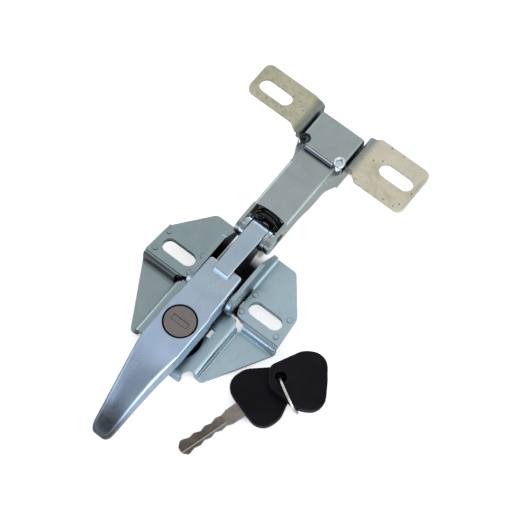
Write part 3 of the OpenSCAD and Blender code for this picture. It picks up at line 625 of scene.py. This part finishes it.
# Latch bolt
# Grey zinc channel, bent from one sheet, with a stepped head that the keeper holds.
# A dark, glossy bead fills the inside of the step between two relief holes, with a painted highlight and shade.
# The right hole has a cup painted with a highlight and the left one an open rim painted in shade.
relief_x = 72.6
relief_y = 10.4
bolt_finish = metal("bolt zinc", (0.49, 0.545, 0.53), (0.4, 0.43, 0.41), (0.78, 0.9, 0.95), 0.26, size=16.0)


def relief_rim(middle):
    """Upper rims of the two relief holes at the step."""
    return math.hypot(middle.x - relief_x, abs(middle.y) - relief_y) < 2.7 and middle.z > 18.0


formed("latch_bolt", "bolt", "bolt_zinc", bolt_finish, 0.3, relief_rim, 0.6, segments=4)
bead_finish, tree, shader = new_material("step bead")
base = use(tree, grain, Size=4.0, Grain=0.4)
place = position(tree)
# Painted highlight over most of the bead and painted shade along its rear foot.
color = layer(tree, (0.14, 0.18, 0.26), base["Clouds"], 0.4, (0.22, 0.27, 0.37))
color = blend(tree, ramp(tree, place["X"], 0.0696, 0.0698), color, (0.92, 0.97, 1.0))
color = blend(tree, ramp(tree, place["X"], 0.0692, 0.0689), color, (0.012, 0.012, 0.015))
coat(tree, shader, color, scaled(tree, base["Fine"], 0.1, 0.14), 1.0)
bead = slab("step_bead", arc(70.4, 19.4, 1.54, 0, 360, 12), 7.62, 0.2)
shown(smoothed(bead, 40), "bolt", "bolt_zinc", bead_finish)
# Lit and shaded copies of one rim: the left one painted in shade, the right one painted with a highlight.
shaded = metal("shaded rim", (0.03, 0.034, 0.04), (0.015, 0.015, 0.018), (0.2, 0.24, 0.28), 0.3, size=4.0)
highlit = metal("highlit rim", (0.86, 0.95, 1.0), (0.7, 0.8, 0.88), (1.0, 1.0, 1.0), 0.1,
                 size=4.0, stained=0.2)
eyelet_x = 72.5
eyelet_y = 9.75
eyelet_section = [(1.6, 21.2), (2.65, 21.2), (2.65, 22.2), (2.5, 22.42)]
eyelet_section += [(2.2, 22.5), (1.9, 22.42), (1.65, 22.1), (1.6, 21.25)]
for y, rim_finish, is_open in ((-eyelet_y, highlit, False), (eyelet_y, shaded, True)):
    eyelet = turned("eyelet", eyelet_section, eyelet_x, y, step=9, hollow=is_open)
    shown(smoothed(eyelet, 50), "bolt", "bolt_zinc", rim_finish)

# Keeper
# Bent sheet strap with two slotted ears, ivory passivated zinc with blots and small dark specks.
# It is loose, and the bolt head lies in its grey trough.
specks, given, result = new_group("specks", {"Spacing": 3.0, "Size": 0.14}, ("Speck",))
coords = add(specks, "ShaderNodeTexCoord").outputs["Object"]
apart = calc(specks, "DIVIDE", 1 / MM, given["Spacing"])
cells = add(specks, "ShaderNodeTexVoronoi", {"Vector": coords, "Scale": apart}, {"Randomness": 1.0}).outputs
near = calc(specks, "SUBTRACT", given["Size"], cells["Distance"])
near = calc(specks, "MULTIPLY", near, 14.0, use_clamp=True)
pick = add(specks, "ShaderNodeSeparateColor", {"Color": cells["Color"]}).outputs["Red"]
some = calc(specks, "GREATER_THAN", pick, 0.72)
specks.links.new(times(specks, near, some), result["Speck"])
keeper_finish, tree, shader = new_material("ivory passivation")
base = use(tree, grain, Size=16.0, Grain=0.5)
small = use(tree, specks, Spacing=2.6, Size=0.2)
blots = use(tree, grain, Size=3.2, Grain=0.9)
rims = use(tree, wear_sheen_shade, Reach=0.35)
place = position(tree)
side = ramp(tree, place["Y"], 0.025, -0.025)
color = blend(tree, side, (0.68, 0.64, 0.43), (0.92, 0.84, 0.65))
color = layer(tree, color, base["Clouds"], 0.5, (0.8, 0.71, 0.56))
color = layer(tree, color, base["Stain"], 0.55, (0.42, 0.42, 0.28))
spread = times(tree, blots["Stain"], scaled(tree, side, -0.75, 1.0))
color = layer(tree, color, spread, 0.55, (0.3, 0.31, 0.22))
color = layer(tree, color, blots["Fine"], 0.25, (0.5, 0.44, 0.34))
color = layer(tree, color, small["Speck"], 0.8, (0.14, 0.11, 0.08))
trough = ramp(tree, calc(tree, "ABSOLUTE", place["Y"]), 0.0192, 0.0138)
color = layer(tree, color, trough, 0.85, (0.13, 0.17, 0.165))
# Edge wear with a painted highlight, and painted shade in hollows.
color = layer(tree, color, rims["Edge"], 0.6, (0.92, 0.88, 0.78))
color = layer(tree, color, rims["Hollow"], 0.85, (0.03, 0.032, 0.03))
coat(tree, shader, color, scaled(tree, base["Clouds"], 0.12, 0.38), 0.75)
bumped(tree, shader, base["Fine"], 0.15, 0.05)
formed("keeper", "keeper", "keeper_passivated", keeper_finish, 0.3)

# Key set
# Dull nickel blade with painted shade in its groove and a painted highlight on the rib beside it, in a moulded
# head of satin black plastic with a painted sheen on its rounded edges.
# The head and a tag of the same plastic hang on a split ring of bright wire, swept in two turns.
blade_finish, tree, shader = new_material("key nickel")
base = use(tree, grain, Size=6.0, Grain=0.4)
marks = use(tree, scratch, Length=6.0, Width=0.14, Share=0.3)
rims = use(tree, wear_sheen_shade, Reach=0.3)
spot = add(tree, "ShaderNodeTexCoord").outputs["Object"]
spot = add(tree, "ShaderNodeVectorMath", {0: spot}, {1: (0.0708, 0.0324, 0.0)}, operation="ADD").outputs[0]
blade_turn = {"Angle": math.radians(17.4)}
spot = add(tree, "ShaderNodeVectorRotate", {"Vector": spot}, blade_turn, rotation_type="Z_AXIS").outputs[0]
place = add(tree, "ShaderNodeSeparateXYZ", {0: spot}).outputs
color = blend(tree, ramp(tree, place["X"], 0.008, 0.032), (0.17, 0.135, 0.11), (0.38, 0.32, 0.28))
color = layer(tree, color, base["Stain"], 0.4, (0.14, 0.11, 0.09))
bare = ramp(tree, place["X"], 0.0245, 0.0225)
# Painted shade in the groove and a painted highlight on the rib beside it.
groove = times(tree, ramp(tree, place["Y"], -0.0012, -0.0009), ramp(tree, place["Y"], 0.0022, 0.0019), bare)
color = layer(tree, color, groove, 0.45, (0.1, 0.08, 0.065))
rib = times(tree, ramp(tree, place["Y"], -0.0019, -0.0016), ramp(tree, place["Y"], -0.001, -0.0013), bare)
color = layer(tree, color, rib, 0.8, (0.72, 0.66, 0.6))
color = layer(tree, color, marks["Lines"], 0.3, (0.6, 0.54, 0.48))
# Edge wear with a painted highlight.
color = layer(tree, color, rims["Edge"], 0.4, (0.66, 0.58, 0.5))
coat(tree, shader, color, scaled(tree, base["Clouds"], 0.12, 0.3), 1.0)
bumped(tree, shader, base["Fine"], 0.15, 0.05)
formed("key_blade", "keys", "key_nickel", blade_finish, 0.12)
plastic_finish, tree, shader = new_material("black plastic")
base = use(tree, grain, Size=8.0, Grain=0.3)
rims = use(tree, wear_sheen_shade, Reach=1.6)
color = blend(tree, base["Clouds"], (0.002, 0.0015, 0.003), (0.005, 0.004, 0.007))
# Painted sheen on the rounded edges.
color = layer(tree, color, rims["Edge"], 0.7, (0.016, 0.02, 0.04))
coat(tree, shader, color, scaled(tree, base["Fine"], 0.2, 0.38), 0.0)
shader.inputs["Specular IOR Level"].default_value = 0.16
bumped(tree, shader, base["Fine"], 0.2, 0.03)
formed("key_head", "keys", "key_plastic", plastic_finish, 1.9, segments=6)
formed("key_tag", "tag", "key_plastic", plastic_finish, 1.9, segments=6)
ring_finish = metal("ring nickel", (0.8, 0.74, 0.68), (0.5, 0.45, 0.4), (1.0, 0.96, 0.9), 0.14,
                    size=6.0, stained=0.3)
ring_height = 0.84
ring = swept("split_ring", ring_finish, 1.96, 8.6, ring_height, 0.72, 0.4, 64)
ring_stand = Matrix.Translation((-23.2 * MM, -55.3 * MM, -0.34 * MM))
ring_stand @= Matrix.Rotation(math.radians(241), 4, "Z") @ Matrix.Rotation(math.radians(104), 4, "X")
ring.data.transform(ring_stand @ Matrix.Translation((0, 0, -ring_height / 2 * MM)))
shown(ring, "keys", "steel", ring_finish, "key_ring")

# Stage
# Pale floor that glows white for the camera and keeps its contact shadow, part lit and part painted. Painted
# shadow makes it dark where the nose, the bolt, the lock, two notches of the base or the key holes cover it,
# pale where nothing does.
floor_mesh = bpy.data.meshes.new("floor")
half = 2.0
level = -9.62 * MM
corners = [(-half, -half, level), (half, -half, level), (half, half, level), (-half, half, level)]
floor_mesh.from_pydata(corners, [], [(0, 1, 2, 3)])
floor = bpy.data.objects.new("floor", floor_mesh)
scene.collection.objects.link(floor)
floor_finish, tree, shader = new_material("pale floor")
base = use(tree, grain, Size=300.0, Grain=2.0)
shader.inputs["Roughness"].default_value = 0.9
shader.inputs["Specular IOR Level"].default_value = 0.1
spot = add(tree, "ShaderNodeTexCoord").outputs["Object"]
place = add(tree, "ShaderNodeSeparateXYZ", {0: spot}).outputs
covered = add(tree, "ShaderNodeAmbientOcclusion", None, {"Distance": 35 * MM}, samples=12).outputs["AO"]
# Painted shadow beneath the nose and beneath the bolt, where the parts cover the floor.
aside = calc(tree, "ABSOLUTE", place["Y"])
below_nose = times(tree, ramp(tree, covered, 0.92, 0.7), ramp(tree, aside, 0.0118, 0.0105),
                   ramp(tree, place["X"], -0.008, -0.005), ramp(tree, place["X"], 0.028, 0.018))
below_bolt = times(tree, scaled(tree, ramp(tree, covered, 0.97, 0.85), 0.72),
                   ramp(tree, place["Y"], -0.0052, -0.003), ramp(tree, place["Y"], 0.0125, 0.008),
                   ramp(tree, place["X"], 0.02, 0.026), ramp(tree, place["X"], 0.078, 0.068))
painted_shadow = calc(tree, "MAXIMUM", below_nose, below_bolt)
# Each painted shadow spot has its centre, its radius and its soft rim in mm, and the cover at which it starts
# and is full.
spots = [((-30.0, -4.0), 9.5, 1.5, 0.45, 0.3), ((-17.2, -46.2), 6.0, 1.5, 0.75, 0.55)]
spots += [((41.6, 9.4), 7.5, 4.2, 0.97, 0.85), ((-8.1, 16.4), 5.0, 1.5, 0.75, 0.5)]
spots += [((-2.9, -12.3), 3.6, 1.4, 0.75, 0.5)]
for centre, rim, fade, most, least in spots:
    away = distance(tree, spot, (centre[0] * MM, centre[1] * MM, level))
    shaded_spot = times(tree, ramp(tree, away, rim * MM, (rim - fade) * MM), ramp(tree, covered, most, least))
    painted_shadow = calc(tree, "MAXIMUM", painted_shadow, shaded_spot)
# The camera sees a white glow that fades to a painted contact shadow where little sky reaches the floor, and is
# dark under the painted shadow.
open_sky = add(tree, "ShaderNodeAmbientOcclusion", None, {"Distance": 9 * MM}, samples=12).outputs["AO"]
pale = blend(tree, base["Clouds"], (0.93, 0.93, 0.93), (0.95, 0.95, 0.95))
tree.links.new(blend(tree, painted_shadow, pale, (0.015, 0.012, 0.011)), shader.inputs["Base Color"])
glow = blend(tree, ramp(tree, open_sky, 0.12, 0.5), (0.0, 0.0, 0.0), (1.0, 1.0, 1.0))
tree.links.new(blend(tree, painted_shadow, glow, (0.0, 0.0, 0.0)), shader.inputs["Emission Color"])
seen = add(tree, "ShaderNodeLightPath").outputs["Is Camera Ray"]
tree.links.new(scaled(tree, seen, 0.62), shader.inputs["Emission Strength"])
floor.data.materials.append(floor_finish)

# Light
# A soft room: mid grey overhead, bright pale blue low around, a dark patch on the grip's side,
# and one wide lamp for the floor and the plastic.
world = bpy.data.worlds.new("room")
scene.world = world
world.use_nodes = True
tree = world.node_tree
back = tree.nodes["Background"]
ray = add(tree, "ShaderNodeTexCoord").outputs["Generated"]
height = add(tree, "ShaderNodeSeparateXYZ", {0: ray}).outputs["Z"]
low = ramp(tree, height, 0.45, 0.15)
patch_side = {1: (-0.76, 0.1, 0.64)}
patch = add(tree, "ShaderNodeVectorMath", {0: ray}, patch_side, operation="DOT_PRODUCT").outputs["Value"]
color = blend(tree, low, (0.62, 0.64, 0.66), (1.7, 1.9, 2.1))
color = layer(tree, color, ramp(tree, patch, 0.72, 0.97), 0.6, (0.06, 0.065, 0.08))
tree.links.new(color, back.inputs["Color"])
back.inputs["Strength"].default_value = 1.0
lamp = bpy.data.lights.new("wide lamp", "AREA")
lamp.energy = 4.0
lamp.size = 1.2
lamp_obj = bpy.data.objects.new("wide lamp", lamp)
lamp_obj.location = (-0.25, -0.95, 0.55)
lamp_obj.rotation_euler = Vector(lamp_obj.location).to_track_quat("Z", "Y").to_euler()
scene.collection.objects.link(lamp_obj)

# Camera
# Placed by fitting slot centres, pad dots, lock centre and bolt corners to the photograph.
cam = bpy.data.cameras.new("camera")
cam.lens = 130.46
cam.sensor_width = 36.0
cam.clip_start = 0.05
cam.clip_end = 20.0
cam_obj = bpy.data.objects.new("camera", cam)
cam_obj.location = (-0.26727, -0.16862, 0.78941)
cam_obj.rotation_euler = [math.radians(a) for a in (22.449, -3.367, -52.431)]
scene.collection.objects.link(cam_obj)
scene.camera = cam_obj
scene.view_settings.view_transform = "Standard"
